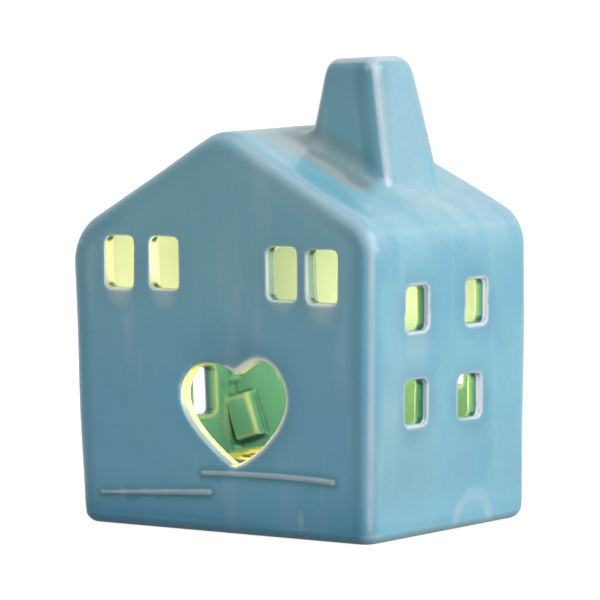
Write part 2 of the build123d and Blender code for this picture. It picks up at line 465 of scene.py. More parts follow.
@dataclass(frozen=True)
class BlueGlaze:
    """Glossy translucent glaze: pale where it breaks over edges, deep where it pools, with painted
    light and shade in places.

    A Span here is where a share starts and where it is full, in millimetres.
    """

    body: Colour = from_screen(122, 188, 206)
    cloud: Colour = from_screen(108, 176, 202)
    smoke: Colour = from_screen(134, 176, 182)
    front_low: Colour = from_screen(92, 166, 199)
    front_high: Colour = from_screen(116, 178, 194)
    front_foot: Colour = from_screen(62, 140, 176)
    # Painted light: the lower side walls lighter, where less light reaches them
    side_foot_painted_light: Colour = from_screen(148, 208, 230)
    # Dust with a painted reflection of the chimney, then painted shade on the roof
    dust_and_sheen: Colour = from_screen(170, 174, 172)
    roof_painted_shade: Colour = from_screen(118, 126, 120)
    stack_shade: Colour = from_screen(108, 164, 178)
    deep: Colour = from_screen(78, 158, 188)
    pool: Colour = from_screen(64, 138, 162)
    thin: Colour = from_screen(214, 218, 232)
    line: Colour = from_screen(198, 212, 222)
    run: Colour = from_screen(204, 224, 222)
    raised: Colour = from_screen(180, 198, 208)
    front_rim: Colour = from_screen(246, 246, 238)
    # Painted shade on the heart's rounded lower left rim
    heart_rim_painted_shade: Colour = from_screen(108, 122, 150)
    lit_rim: Colour = from_screen(184, 192, 226)
    # Front reveals: pale thin glaze, yellowed with painted candlelight, the heart's the most
    reveal: Colour = from_screen(210, 216, 172)
    reveal_low: Colour = from_screen(210, 212, 140)
    reveal_shade: Colour = from_screen(164, 190, 190)
    reveal_notch: Colour = from_screen(206, 224, 216)
    # Painted shade on the heart's rounded lower left reveal
    heart_reveal_painted_shade: Colour = from_screen(96, 110, 134)
    # Side jambs: painted shade at the outside, painted candlelight inside
    reveal_outer: Colour = from_screen(42, 108, 120)
    reveal_inner: Colour = from_screen(128, 176, 122)
    # Pooled glaze and painted shade in the corners of openings
    corner: Colour = from_screen(20, 74, 86)
    flue: Colour = from_screen(58, 120, 138)
    # The room: painted candlelight, lighter high up and on the left wall, darker low down
    inner_low: Colour = from_screen(92, 150, 140)
    inner_high_painted_light: Colour = from_screen(157, 172, 162)
    inner_left_painted_light: Colour = from_screen(180, 188, 176)
    inner_thin: Colour = from_screen(150, 170, 146)
    # Pooled glaze and painted shade in the room's corners
    inner_pool_and_shade: Colour = from_screen(34, 84, 74)
    olive: Colour = from_screen(96, 122, 70)
    bisque: Colour = from_screen(214, 208, 196)
    roughness: float = 0.28
    ior: float = 1.5
    coat: float = 0.2
    coat_roughness: float = 0.16
    lines: tuple[GroundLine, ...] = (
        GroundLine((-36.4, 7.7), (-2.9, 9.7), 0.0, 0.5, 1.3),
        GroundLine((-4.8, 14.1), (33.4, 14.1), 0.5, 0.9, 1.1),
    )
    # Painted shade on the chimney, and a painted highlight on its right side
    stack_painted_shade_and_light: tuple[Spot, ...] = (
        Spot(stack_shade, 0.75, (20.5, -11.0, 98.0), 8.0, 12.0, (0.7, 1.0, 0.42)),
        Spot(line, 0.3, (31.5, 1.0, 94.0), 5.0, 11.0, (1.0, 0.7, 0.4)),
    )
    # By the ridge: dust with a painted reflection of the chimney, and painted shade
    ridge_sheen_and_shade: tuple[Spot, ...] = (
        Spot(dust_and_sheen, 0.35, (9.0, -20.0, 91.0), 2.0, 7.0, (0.6, 1.0, 0.5)),
        Spot(roof_painted_shade, 0.14, (4.5, -14.0, 94.0), 3.0, 10.0, (0.7, 1.0, 0.6)),
    )
    puddles: tuple[Spot, ...] = (
        Spot(pool, 0.12, (28.0, -24.5, 81.0), 1.5, 5.5, (0.5, 1.0, 0.4)),
        Spot(pool, 0.35, (3.0, -31.0, 41.0), 4.0, 12.0, (0.8, 1.0, 1.0)),
    )
    runs: tuple[Spot, ...] = (
        Spot(run, 0.44, (-29.6, -31.2, 55.6), 0.4, 3.4, (0.65, 1.0, 0.75)),
        Spot(run, 0.38, (-15.8, -31.2, 55.6), 0.4, 3.4, (0.65, 1.0, 0.75)),
        Spot(run, 0.24, (19.5, -31.2, 54.2), 0.4, 3.0, (0.65, 1.0, 0.8)),
        Spot(run, 0.38, (31.1, -31.2, 53.4), 0.4, 3.6, (0.65, 1.0, 0.65)),
        Spot(run, 0.22, (44.8, -14.0, 44.6), 1.0, 7.0, (1.0, 0.9, 0.8)),
        Spot(run, 0.16, (44.4, -23.5, 31.0), 1.0, 6.0, (1.0, 1.0, 0.6)),
        Spot(run, 0.2, (23.7, -31.2, 4.6), 0.5, 1.3, (1.0, 1.0, 0.4)),
    )
    # A darker olive patch on the rear wall behind the flame
    dark_mark: Spot = Spot(olive, 0.6, (17.0, 25.0, 27.0), 8.0, 24.0)
    streak: Spot = Spot(inner_thin, 0.45, (-41.0, 21.3, 20.5), 0.6, 2.4, (1.0, 1.0, 0.3))
    # Painted reflection: a faint pale arch of sheen low on the right wall
    sheen_arch_middle: Point3 = (44.3, 8.5, 1.0)
    roof_slope: float = 0.534
    slope: Span = (86.0, 95.0)
    below_stack: Span = (99.5, 97.5)
    stack_foot: Span = (103.5, 99.0)
    # Where the roof's dust, painted reflection and painted shade lie
    roof_marks_across: tuple[Span, Span] = ((0.0, 9.0), (33.0, 28.0))
    dust_and_sheen_along: tuple[Span, Span] = ((-17.5, -14.5), (-8.5, -10.5))
    shade_along: tuple[Span, Span] = ((-13.0, -10.0), (2.0, -4.0))
    front_face: Span = (-27.0, -31.0)
    front_rise: Span = (30.0, 68.0)
    foot: Span = (16.0, 1.0)
    seam_place: float = -0.4
    seam_edge: Span = (0.6, 0.1)
    heart_foot_edges: tuple[tuple[str, float, float], ...] = (
        ("X", -16.0, -14.0),
        ("X", 5.0, 2.5),
        ("Z", 35.0, 28.0),
    )
    through_side: Span = (1.2, 3.6)
    turned_depth: Span = (2.8, 1.4)
    lit_depth: Span = (2.5, 3.3)
    lit_height: Span = (48.0, 52.0)
    front_rim_depth: float = 0.5
    side_rim_more: float = 0.6
    rim_end: float = 0.4
    past_skin: Span = (0.35, 0.75)
    past_wall: Span = (3.0, 3.6)
    past_flue_rim: Span = (0.5, 2.0)
    side_reveals: Span = (39.0, 40.0)
    above_heart: Span = (48.0, 44.0)
    past_notch: Span = (4.5, 6.0)
    past_heart: Span = (9.0, 13.0)
    room_height: Span = (38.0, 50.0)
    flue_height: Span = (84.0, 90.0)
    base: Span = (0.3, 0.1)

    def drawn(self, recipe: Recipe, colour: Socket, on_front: Socket) -> Socket:
        """Glazes the ground lines: pale on top, and pooled round about.

        Args:
            recipe: The material in the making.
            colour: The colour of the wall.
            on_front: The share by which a place lies on the front.

        Returns:
            The colour with the lines.
        """
        gap = recipe.sum("MINIMUM", *(line.gap(recipe) for line in self.lines))
        ragged = recipe.sum("MULTIPLY_ADD", recipe.noise(2.4, 2.0), 0.5, gap)
        colour = recipe.tint(colour, self.pool, recipe.span(ragged, 2.4, 0.3, 0.0, 0.75), on_front)
        return recipe.tint(colour, self.raised, recipe.span(gap, 0.25, -0.1, 0.0, 0.8), on_front)

    def roof(self, recipe: Recipe, colour: Socket) -> Socket:
        """Marks the right slope: pale streaks, dust with a painted reflection before the chimney,
        and painted shade along its foot.

        Args:
            recipe: The material in the making.
            colour: The colour of the glaze.

        Returns:
            The colour with the roof's marks.
        """
        over = recipe.sum("MULTIPLY_ADD", recipe.axes["X"], self.roof_slope, recipe.axes["Z"])
        off_stack = recipe.span(over, *self.below_stack)
        streaks = recipe.span(recipe.noise(7.0, stretch=(0.35, 1.0, 0.35)), 0.35, 0.62, 0.08, 0.3)
        colour = recipe.tint(colour, self.line, streaks, recipe.span(over, *self.slope), off_stack)
        reach = recipe.product(*(recipe.along("X", *ends) for ends in self.roof_marks_across))
        uneven = recipe.sum("MULTIPLY_ADD", recipe.noise(6.0), 5.0, recipe.axes["Y"])
        # Dust with a painted reflection of the chimney, in front of it
        dust_and_sheen_share = recipe.product(*(recipe.span(uneven, *ends) for ends in self.dust_and_sheen_along))
        colour = recipe.tint(colour, self.dust_and_sheen, dust_and_sheen_share, reach, off_stack, 0.7)
        for spot in self.ridge_sheen_and_shade:
            colour = spot.laid(recipe, colour)
        # Painted shade along the chimney's foot
        low, high = self.shade_along
        foot = recipe.product(recipe.span(uneven, *low), recipe.along("Y", *high))
        return recipe.tint(colour, self.roof_painted_shade, foot, reach, recipe.span(over, *self.stack_foot), 0.6)

    def outside(self, recipe: Recipe, grain: Socket) -> Socket:
        """Mixes the colour of the outer faces.

        Args:
            recipe: The material in the making.
            grain: The glaze's fine grain.

        Returns:
            The colour.
        """
        clouds = recipe.noise(22.0)
        haze = recipe.noise(38.0, 2.0, 0.5, (1.0, 1.0, 0.6))
        streaks = recipe.noise(8.0, 3.0, 0.5, (1.0, 1.0, 0.14))
        colour = recipe.blend(recipe.span(clouds, 0.38, 0.66), self.body, self.cloud)
        colour = recipe.tint(colour, self.smoke, recipe.span(haze, 0.45, 0.7, 0.0, 0.45))

        on_front = recipe.along("Y", *self.front_face)
        front = recipe.blend(recipe.along("Z", *self.front_rise), self.front_low, self.front_high)
        colour = recipe.tint(colour, front, on_front, 0.75)
        # Painted shade and a painted highlight on the chimney
        for spot in self.stack_painted_shade_and_light:
            colour = spot.laid(recipe, colour)
        colour = self.roof(recipe, colour)
        for spot in self.puddles:
            colour = spot.laid(recipe, colour)

        colour = recipe.tint(colour, self.thin, recipe.span(streaks, 0.5, 0.75, 0.0, 0.14))
        colour = recipe.tint(colour, self.pool, recipe.span(grain, 0.4, 0.7, 0.0, 0.08))
        # Lower walls: painted light on the sides, deeper blue glaze at the front's foot
        foot = recipe.blend(on_front, self.side_foot_painted_light, self.front_foot)
        colour = recipe.tint(colour, foot, recipe.along("Z", *self.foot, 0.0, 0.5))
        # Pooled glaze round openings, and pooled glaze with painted shade beside the near corner,
        # rakes and chimney edge
        colour = recipe.tint(colour, self.pool, recipe.mark(Mark.HALO))
        colour = recipe.tint(colour, self.deep, recipe.mark(Mark.HOLLOW))

        # Painted reflection: a faint pale arch low on the right wall
        reach = recipe.away(self.sheen_arch_middle)
        ring = recipe.sum("SUBTRACT", recipe.span(reach, 9.2, 7.6), recipe.span(reach, 6.6, 4.6))
        patchy = recipe.span(recipe.noise(5.0, 2.0), 0.35, 0.6, 0.1, 0.34)
        colour = recipe.tint(colour, self.thin, ring, patchy)
        for spot in self.runs:
            colour = spot.laid(recipe, colour)
        seam = recipe.sum("ABSOLUTE", recipe.sum("SUBTRACT", recipe.axes["Y"], self.seam_place))
        seam = recipe.product(recipe.span(seam, *self.seam_edge), recipe.along("X", 43.0, 44.0))
        colour = recipe.tint(colour, self.thin, seam, recipe.along("Z", 44.0, 52.0, 0.0, 0.1))
        colour = self.drawn(recipe, colour, on_front)
        worn = recipe.span(recipe.noise(11.0, 2.0), 0.3, 0.7, 0.6, 1.0)
        colour = recipe.tint(colour, self.line, recipe.mark(Mark.LINE), worn)
        rim = recipe.blend(on_front, self.thin, self.front_rim)
        # Painted shade on the heart's lower left rim
        rim = recipe.tint(rim, self.heart_rim_painted_shade, self.heart_foot(recipe))
        return recipe.tint(colour, rim, recipe.mark(Mark.EDGE))

    def heart_foot(self, recipe: Recipe) -> Socket:
        """The share by which a place lies on the lower left edge of the heart."""
        return recipe.product(*(recipe.along(*edge) for edge in self.heart_foot_edges))

    def opening(self, recipe: Recipe, depth: Socket) -> Socket:
        """Mixes the colour of the faces through the wall, and of the flue, with painted candlelight
        and shade.

        Args:
            recipe: The material in the making.
            depth: How deep a place lies under the outside.

        Returns:
            The colour.
        """
        on_side = recipe.span(recipe.sum("ABSOLUTE", recipe.axes["X"]), *self.side_reveals)
        through = recipe.span(depth, *self.through_side)
        # Side jambs: painted shade at the outside, painted candlelight inside
        side = recipe.blend(through, self.reveal_outer, self.reveal_inner)
        on_heart = recipe.along("Z", *self.above_heart)
        past_heart = recipe.along("X", *self.past_heart)
        turned = self.heart_foot(recipe)
        # Pale reveals, yellowed with painted candlelight
        front = recipe.blend(on_heart, self.reveal, self.reveal_low)
        front = recipe.tint(front, self.reveal_notch, recipe.along("X", *self.past_notch), on_heart)
        front = recipe.tint(front, self.reveal_shade, past_heart)
        turned_edge = recipe.span(depth, *self.turned_depth)
        # Painted shade on the heart's lower left reveal
        front = recipe.tint(front, self.heart_reveal_painted_shade, turned_edge, turned)
        # Painted highlight on the inner edge of the jambs right of the heart
        lit_edge = recipe.product(recipe.span(depth, *self.lit_depth), past_heart)
        front = recipe.tint(front, self.front_rim, lit_edge, recipe.along("Z", *self.lit_height))
        colour = recipe.blend(on_side, front, side)
        # Pooled glaze and painted shade in the corners
        colour = recipe.tint(colour, self.corner, recipe.mark(Mark.HOLLOW))
        on_right = recipe.along("X", *self.side_reveals)
        start = recipe.sum("MULTIPLY_ADD", on_right, self.side_rim_more, self.front_rim_depth)
        past_rim = recipe.span(recipe.sum("SUBTRACT", depth, start), 0.0, self.rim_end)
        # Painted shade on the heart's lower left rim
        rim = recipe.blend(turned, self.front_rim, self.heart_rim_painted_shade)
        return recipe.blend(past_rim, recipe.tint(rim, self.lit_rim, on_side), colour)

    def inside(self, recipe: Recipe, grain: Socket) -> Socket:
        """Mixes the colour of the room's faces, with painted candlelight: lighter high up and on
        the left wall.

        Args:
            recipe: The material in the making.
            grain: The glaze's fine grain.

        Returns:
            The colour.
        """
        # Painted candlelight: lighter high up and on the left wall
        high = recipe.blend(recipe.along("X", -38.0, -39.0), self.inner_high_painted_light, self.inner_left_painted_light)
        colour = recipe.blend(recipe.along("Z", *self.room_height), self.inner_low, high)
        # A darker olive patch on the rear wall behind the flame
        colour = self.dark_mark.laid(recipe, colour)
        colour = recipe.tint(colour, self.inner_thin, recipe.span(grain, 0.4, 0.75, 0.0, 0.1))
        colour = self.streak.laid(recipe, colour)
        # Pooled glaze and painted shade in the corners
        colour = recipe.tint(colour, self.inner_pool_and_shade, recipe.mark(Mark.HOLLOW), 0.6)
        rim = recipe.blend(recipe.along("X", 38.0, 40.5), self.inner_thin, self.reveal)
        return recipe.tint(colour, rim, recipe.mark(Mark.EDGE))

    def make(self) -> bpy.types.Material:
        """Builds the glaze.

        Returns:
            The material.
        """
        recipe = Recipe("blue_glaze")
        grain = recipe.noise(1.3, 4.0, 0.62)
        depth = recipe.mark(Mark.DEPTH)
        colour = self.outside(recipe, grain)
        spans = (self.past_skin, self.past_wall, self.past_flue_rim)
        past_skin, past_wall, past_flue_rim = (recipe.span(depth, *ends) for ends in spans)
        colour = recipe.tint(colour, self.opening(recipe, depth), past_skin)
        colour = recipe.tint(colour, self.inside(recipe, grain), past_wall)
        in_flue = recipe.along("Z", *self.flue_height)
        colour = recipe.tint(colour, self.flue, past_flue_rim, in_flue)
        colour = recipe.tint(colour, self.bisque, recipe.along("Z", *self.base))
        recipe.set(
            Base_Color=colour,
            Roughness=self.roughness,
            IOR=self.ior,
            Coat_Weight=self.coat,
            Coat_Roughness=self.coat_roughness,
        )
        recipe.bump(recipe.noise(9.0, 2.0), 0.4, 0.35)
        return recipe.material


@dataclass(frozen=True)
class SheetMetal:
    """Thin bare metal whose grain varies its colour and its sheen. Lengths are millimetres."""

    name: str
    colour: Colour
    dull: Colour
    dulling: Span
    roughness: Span
    grain: tuple[float, float, float, Point3]
    relief: float = 0.0

    def make(self) -> bpy.types.Material:
        """Builds the metal.

        Returns:
            The material.
        """
        recipe = Recipe(self.name)
        grain = recipe.noise(*self.grain)
        recipe.set(
            Base_Color=recipe.blend(recipe.span(grain, *self.dulling), self.colour, self.dull),
            Metallic=1.0,
            Roughness=recipe.span(grain, 0.3, 0.7, *self.roughness),
        )
        if self.relief:
            recipe.bump(grain, self.relief, 0.5)
        return recipe.material


DRAWN_ALUMINIUM = SheetMetal(
    name="cup_aluminium",
    # Grey aluminium, warmed with painted candlelight
    colour=from_screen(206, 200, 172),
    dull=from_screen(180, 180, 176),
    dulling=(0.35, 0.7),
    roughness=(0.24, 0.4),
    grain=(2.2, 4.0, 0.6, (1.0, 1.0, 0.35)),
    relief=0.12,
)
STAMPED_TIN = SheetMetal(
    name="tab_tin",
    colour=from_screen(180, 182, 184),
    dull=from_screen(150, 152, 156),
    dulling=(0.3, 0.7),
    roughness=(0.3, 0.45),
    grain=(0.8, 3.0, 0.5, (1.0, 0.1, 1.0)),
)


@dataclass(frozen=True)
class CandleWax:
    """Yellow wax with dark crumbs in its top, and painted shade at its left. Lengths are
    millimetres.

    Each crumb is its place across, its place along and its radius.
    """

    colour: Colour = from_screen(180, 162, 84)
    shade: Colour = from_screen(156, 134, 58)
    # Painted shade at the wax's far left
    far: Colour = from_screen(84, 96, 44)
    dark_mark: Colour = from_screen(60, 40, 14)
    crumbs: tuple[Point3, ...] = (
        (-11.9, -6.3, 1.3),
        (-10.7, -7.8, 1.2),
        (-13.1, -4.8, 1.0),
        (-13.0, -2.1, 1.3),
        (-12.0, -3.4, 1.1),
        (3.5, 2.6, 0.8),
    )
    crumb_blur: float = 0.4
    crumb_wear: float = 1.6
    surface: float = 15.3
    roughness: float = 0.32
    glow: float = 0.35
    glow_reach: float = 2.0
    far_slant: float = 0.55
    far_edge: Span = (-15.9, -17.2)
    far_share: float = 0.6

    def make(self) -> bpy.types.Material:
        """Builds the wax.

        Returns:
            The material.
        """
        recipe = Recipe("candle_wax")
        mottle = recipe.noise(4.0, 4.0, 0.6)
        colour = recipe.blend(recipe.span(mottle, 0.45, 0.8), self.colour, self.shade)
        past = recipe.sum("MULTIPLY_ADD", recipe.axes["Y"], self.far_slant, recipe.axes["X"])
        # Painted shade at the wax's far left
        colour = recipe.tint(colour, self.far, recipe.span(past, *self.far_edge), self.far_share)
        for across, along, radius in self.crumbs:
            reach = recipe.away((across, along, self.surface))
            ragged = recipe.sum("MULTIPLY_ADD", mottle, -self.crumb_wear, reach)
            rim = radius - self.crumb_wear / 2
            cover = recipe.span(ragged, rim + self.crumb_blur, rim - self.crumb_blur)
            colour = recipe.tint(colour, self.dark_mark, cover)
        recipe.set(
            Base_Color=colour,
            Roughness=self.roughness,
            Subsurface_Weight=self.glow,
            Subsurface_Scale=self.glow_reach * MM,
        )
        recipe.bump(mottle, 0.15, 0.4)
        return recipe.material


@dataclass(frozen=True)
class BurntCotton:
    """Braided cotton, white where the wax holds it and charred above. Lengths are millimetres."""

    cotton: Colour = from_screen(196, 182, 150)
    char: Colour = from_screen(26, 22, 20)
    burnt: Span = (14.4, 15.6)

    def make(self) -> bpy.types.Material:
        """Builds the cotton.

        Returns:
            The material.
        """
        recipe = Recipe("wick_cotton")
        colour = recipe.blend(recipe.along("Z", *self.burnt), self.cotton, self.char)
        recipe.set(Base_Color=colour, Roughness=0.9)
        recipe.bump(recipe.noise(0.45, 3.0, 0.6, (1.0, 1.0, 0.5)), 0.2, 0.8)
        return recipe.material


class SurfaceBlur:
    """Averages values over the neighbouring vertices of a mesh."""

    def __init__(self, mesh: bpy.types.Mesh, spacing: float) -> None:
        """Reads the mesh's edges.

        Args:
            mesh: The mesh whose vertices carry the values.
            spacing: The usual length of an edge, in metres.
        """
        self.spacing = spacing
        ends = np.empty(len(mesh.edges) * 2, dtype=np.int32)
        mesh.edges.foreach_get("vertices", ends)
        self.first, self.second = ends.reshape(-1, 2).T
        self.size = len(mesh.vertices)
        self.neighbours = np.maximum(np.bincount(ends, minlength=self.size), 1)

    def column(self, values: np.ndarray, reach: float) -> np.ndarray:
        """Blurs one value for each vertex.

        Args:
            values: The values.
            reach: How far the blur reaches, in millimetres.

        Returns:
            The blurred values.
        """
        for _ in range(max(1, round(4 * (reach * MM / self.spacing) ** 2))):
            total = np.bincount(self.first, values[self.second], self.size)
            total += np.bincount(self.second, values[self.first], self.size)
            values = (values + total / self.neighbours) / 2
        return values

    def places(self, points: np.ndarray, reach: float) -> np.ndarray:
        """Blurs one point for each vertex, axis by axis."""
        return np.stack([self.column(points[:, axis], reach) for axis in range(3)], axis=1)


def line_depth(start: Point2, end: Point2, across: np.ndarray, up: np.ndarray) -> np.ndarray:
    """How far points lie to the right of a line from start to end, below zero on its left."""
    (x0, z0), (x1, z1) = start, end
    return ((z1 - z0) * (across - x0) - (x1 - x0) * (up - z0)) / math.hypot(x1 - x0, z1 - z0)


def rounded_depth(outline: list[Point2], rounds: Point3, sides: list[np.ndarray]) -> np.ndarray:
    """How far points lie inside an outline with rounded corners that turns to the right.

    Args:
        outline: The corners, whose last joins no first.
        rounds: The radius at each corner but the first and the last.
        sides: How far the points lie inside each of its sides.

    Returns:
        The least distance to the outline, below zero outside.
    """
    depth = np.minimum.reduce(sides)
    for number, radius in enumerate(rounds):
        first = np.subtract(outline[number + 1], outline[number])
        second = np.subtract(outline[number + 2], outline[number + 1])
        turn = (first / np.hypot(*first)) @ (second / np.hypot(*second))
        # The gaps to the two sides span the place, which gives the distance from the round's middle
        gap_one, gap_two = radius - sides[number], radius - sides[number + 1]
        square = gap_one**2 + gap_two**2 - 2.0 * turn * gap_one * gap_two
        arc = radius - np.sqrt(np.maximum(square / (1.0 - turn * turn), 0.0))
        beyond = (gap_one > turn * gap_two) & (gap_two > turn * gap_one) & (gap_one + gap_two > 0)
        depth = np.where(beyond, np.minimum(depth, arc), depth)
    return depth


def joined_depth(radius: float, *depths: np.ndarray) -> np.ndarray:
    """The depth under faces that stand square to each other and meet in rounded edges."""
    total = sum(np.maximum(radius - depth, 0.0) ** 2 for depth in depths)
    return np.where(total > 0, radius - np.sqrt(total), np.minimum.reduce(depths))


@dataclass(frozen=True)
class Taper:
    """A view of the chimney, from its wide foot to its narrow top. Lengths are millimetres."""

    foot: float
    foot_size: float
    top: float
    top_size: float

    def sides(
        self, low: float, high: float, places: np.ndarray, up: np.ndarray
    ) -> tuple[np.ndarray, np.ndarray]:
        """Measures how far points lie inside the two sides of the view.

        Args:
            low: The height of the foot.
            high: The height of the top.
            places: The points' places in the view.
            up: The points' heights.

        Returns:
            The depths under the side with the low places and under the other one.
        """
        first = ((self.foot - self.foot_size / 2, low), (self.top - self.top_size / 2, high))
        second = ((self.top + self.top_size / 2, high), (self.foot + self.foot_size / 2, low))
        return line_depth(*first, places, up), line_depth(*second, places, up)


@dataclass(frozen=True)
class Wave:
    """A slow wave in the clay, along a way on the ground and upwards, in millimetres."""

    way: Point2
    length: float
    start: float
    up_length: float
    up_start: float
    share: float = 1.0

    def swell(self, points: np.ndarray) -> np.ndarray:
        """How far the wave stands out at points."""
        level = np.sin(points[:, :2] @ self.way / self.length + self.start)
        return self.share * level * np.sin(points[:, 2] / self.up_length + self.up_start)


@dataclass(frozen=True)
class Depths:
    """What lies under the points of the shell's surface, in millimetres, and its shares."""

    surface: np.ndarray
    chimney: np.ndarray
    bulge: np.ndarray
    edge_line: np.ndarray
    # pooled carries pooled glaze with painted shade beside edges
    pooled: np.ndarray


@dataclass
class CeramicHouse:
    """The glazed shell: walls, roof and chimney in one piece of clay. Lengths are millimetres.

    A Span here is where a share starts and how far it takes to ease in, below 0 where it
    eases out. A Band is where one starts, where it ends, and how far it takes to do each.
    """

    node: str = "house_shell"
    base_width: float = 88.0
    eave_width: float = 92.0
    left_eave_height: float = 70.0
    right_eave_height: float = 71.8
    ridge_height: float = 95.6
    ridge_shift: float = 1.4
    outline_rounds: Point3 = (13.5, 10.5, 10.5)
    corner_round: float = 4.0
    foot_chamfer: float = 2.6
    chamfer_reach: float = 3.0
    chamfer_face: Span = (0.7, -0.4)
    chimney_round: float = 3.8
    lip_round: float = 3.0
    chimney_across: Taper = Taper(18.15, 28.7, 22.2, 15.9)
    chimney_along: Taper = Taper(5.65, 27.6, -0.8, 15.8)
    chimney_height: float = 110.4
    voxel: float = 0.45
    quick_voxel: float = 0.72
    softening: int = 5
    most_triangles: int = 190_000
    waviness: float = 0.16
    waves: tuple[Wave, ...] = (
        Wave((1.0, 0.0), 9.0, 1.3, 11.0, 0.4),
        Wave((0.0, 1.0), 8.0, 2.1, 13.0, 1.9),
        Wave((1.0, 1.0), 5.5, 0.0, 6.5, 0.8, 0.6),
    )
    clear_of_base: Span = (0.5, 3.0)
    line_height: float = 0.5
    drawn_behind: float = 1.2
    roof_rise: float = 72.0
    ridge_tilt: float = 0.5
    ridge_spread: float = 9.0
    half_depth: float = 31.0
    rear_dip: float = 1.0
    dip_place: float = 17.0
    dip_spread: float = 8.5
    dip_start: Span = (12.0, 14.0)
    block: tuple[Band, Band, Band] = (
        (-41.4, -27.0, 3.0, 1.5),
        (19.0, 28.0, 1.5, 1.5),
        (12.5, 30.5, 1.5, 1.5),
    )
    block_shift: float = 0.4
    block_lean: Span = (15.0, 12.7)
    tuck_reach: float = 5.0
    foot_tuck: float = 0.012
    top_tuck: float = 0.1
    chimney_twist: float = 0.075
    twist_reach: float = 30.0
    corner_line: Span = (0.4, 0.65)
    corner_share: float = 0.66
    above_foot: Span = (1.6, 2.4)
    rake_loss: float = 0.28
    rake_start: float = 6.0
    rake_reach: float = 8.0
    eave_line: Span = (0.9, 0.6)
    eave_share: float = 0.2
    stack_line: Span = (0.45, 0.45)
    stack_share: float = 0.85
    at_front: Span = (0.9, -0.5)
    # Pooled glaze with painted shade beside the near corner and rakes, and beside the chimney's
    # near edge
    rake_pool_and_shade: Band = (2.2, 7.0, 1.4, 2.4)
    rake_pool_and_shade_share: float = 0.5
    rake_pool_and_shade_loss: float = 0.35
    rake_pool_and_shade_reach: float = 6.0
    stack_pool_and_shade: Band = (1.0, 6.8, 1.0, 0.9)
    stack_pool_and_shade_share: float = 0.62
    skin: Span = (0.9, -0.4)
    edge_reach: float = 0.6
    heart_height: Band = (15.2, 46.0, 0.8, 3.0)
    heart_right: Span = (1.0, 3.0)
    rim_start: float = 0.05
    rim_slant: float = 0.06
    front_loss: float = 0.035
    heart_gain: float = 1.4
    foot_loss: float = 0.7
    foot_rims: Span = (4.5, -1.5)
    rim_blur: float = 0.5
    rim_blur_share: float = 0.5
    hollow: Span = (-0.02, -0.05)
    halo_reach: float = 2.6
    halo_gain: float = 3.0
    halo_most: float = 0.6
    glaze: BlueGlaze = field(default_factory=BlueGlaze)

    @property
    def spacing(self) -> float:
        return (self.voxel) * MM

    @property
    def front(self) -> float:
        """How far forward the front lies along Y."""
        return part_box(self.node)[0].y / MM

    def soft_copy(self) -> bpy.types.Object:
        """Copies the shell's CAD mesh and softens every edge of it, as glaze and clay do.

        Returns:
            The copy, with a dense even mesh.
        """
        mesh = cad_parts[self.node].data.copy()
        mesh.materials.clear()
        joined = bmesh.new()
        joined.from_mesh(mesh)
        bmesh.ops.remove_doubles(joined, verts=joined.verts, dist=TOUCHING)
        joined.to_mesh(mesh)
        joined.free()
        rough = placed("shell_rough", mesh)
        remesh = rough.modifiers.new("even", "REMESH")
        remesh.mode = "VOXEL"
        remesh.voxel_size = self.spacing
        soften = rough.modifiers.new("soften", "SMOOTH")
        soften.factor = 0.5
        soften.iterations = self.softening
        return self.applied(rough, "glazed_shell")

    def applied(self, source: bpy.types.Object, name: str) -> bpy.types.Object:
        """Turns an object into a new one with its modifiers applied.

        Args:
            source: The object, which is removed.
            name: The new object's name.

        Returns:
            The new object.
        """
        graph = bpy.context.evaluated_depsgraph_get()
        made = placed(name, bpy.data.meshes.new_from_object(source.evaluated_get(graph)))
        bpy.data.objects.remove(source)
        return made

    def rows(self, mesh: bpy.types.Mesh, name: str) -> np.ndarray:
        """Reads three numbers for each vertex.

        Args:
            mesh: The mesh.
            name: The vertices' property.

        Returns:
            One row for each vertex.
        """
        flat = np.empty(len(mesh.vertices) * 3, dtype=np.float32)
        mesh.vertices.foreach_get(name, flat)
        return flat.reshape(-1, 3)

    def points(self, mesh: bpy.types.Mesh) -> np.ndarray:
        """The vertices' places, one row each."""
        return self.rows(mesh, "co").astype(float) / MM

    def lined(self, points: np.ndarray) -> np.ndarray:
        """How much the ground lines cover points on the front."""
        across, _, up = points.T
        return np.maximum.reduce([line.cover(across, up) for line in self.glaze.lines])

    def stack(self, points: np.ndarray) -> tuple[np.ndarray, np.ndarray, np.ndarray]:
        """Measures how points lie under the outside of the chimney.

        Args:
            points: The points.

        Returns:
            The depths, and the shares by which the glaze breaks over an edge or pools with painted
            shade beside one.
        """
        across, along, up = points.T
        low, high = self.left_eave_height, self.chimney_height
        by_width = self.chimney_across.sides(low, high, across, up)
        by_depth = self.chimney_along.sides(low, high, along, up)
        faces = (np.minimum(*by_width), np.minimum(*by_depth))
        upright = joined_depth(self.chimney_round, *faces)
        depth = joined_depth(self.lip_round, upright, high - up)
        # Pooled glaze and painted shade beside the chimney's near edge
        pooled = band(by_width[1], *self.stack_pool_and_shade) * ramp(by_depth[0], *self.at_front)
        return (
            np.where(up > low, depth, -np.inf),
            self.stack_share * ramp(np.minimum(*faces), *self.stack_line),
            self.stack_pool_and_shade_share * pooled,
        )

